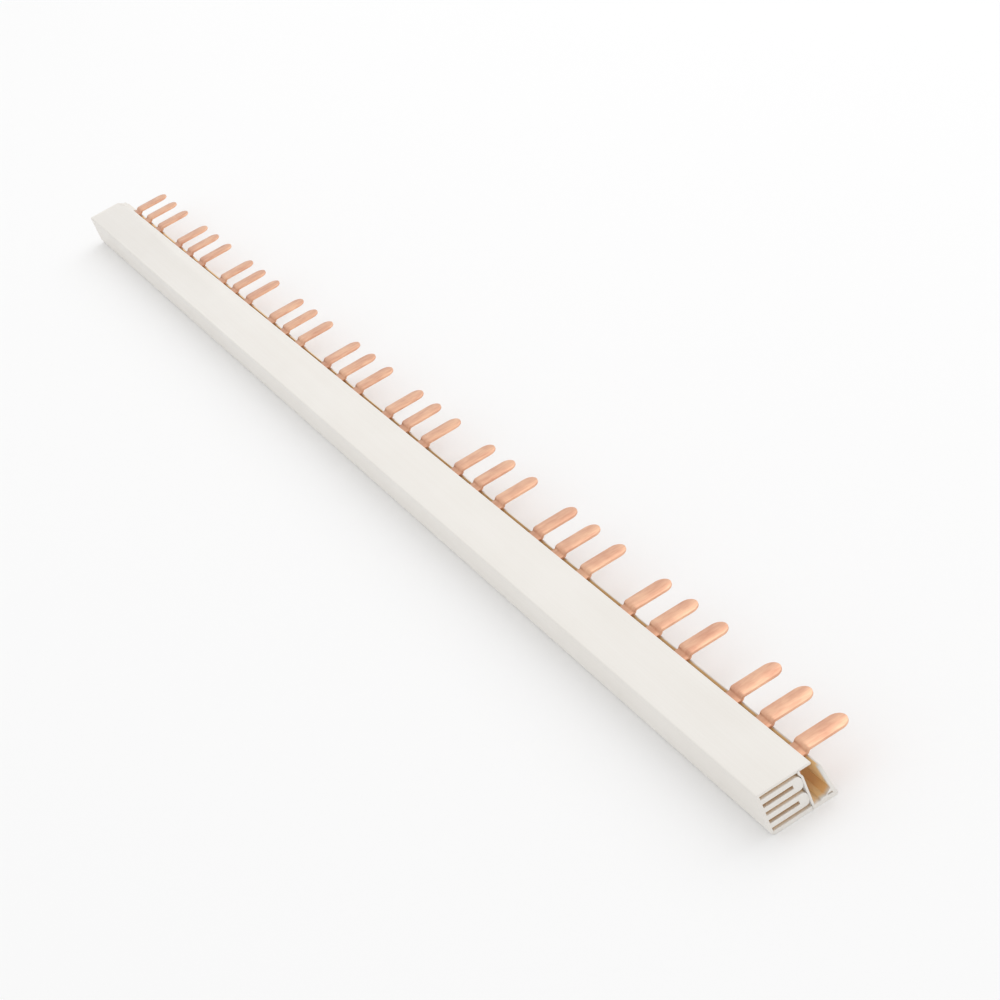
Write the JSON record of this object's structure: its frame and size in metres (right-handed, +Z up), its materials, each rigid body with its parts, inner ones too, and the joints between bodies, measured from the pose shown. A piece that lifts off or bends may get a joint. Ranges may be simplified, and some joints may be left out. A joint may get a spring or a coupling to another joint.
{
  "type": "comb busbar",
  "caption": "Three-phase comb busbar: bent copper combs in a cream insulating profile, tongues along one side, one end open and one capped.",
  "frame": {"origin": "middle of the overall outline in plan, on the base the bar rests on", "axes": "+X along the bar to its open end, +Y across the bar to the tips of the tongues, +Z up out of the cover"},
  "size_m": [0.5408, 0.0288, 0.0118],
  "materials": {
    "housing_profile": "satin",
    "channel_profile": "satin",
    "copper": "bare copper, lightly brushed",
    "cap": "satin"
  },
  "bodies": {
    "root": {"housing": "housing_profile", "rear_channel": "channel_profile", "comb_l1": "copper", "comb_l2": "copper", "comb_l3": "copper", "end_cap": "cap"}
  },
  "joints": []
}
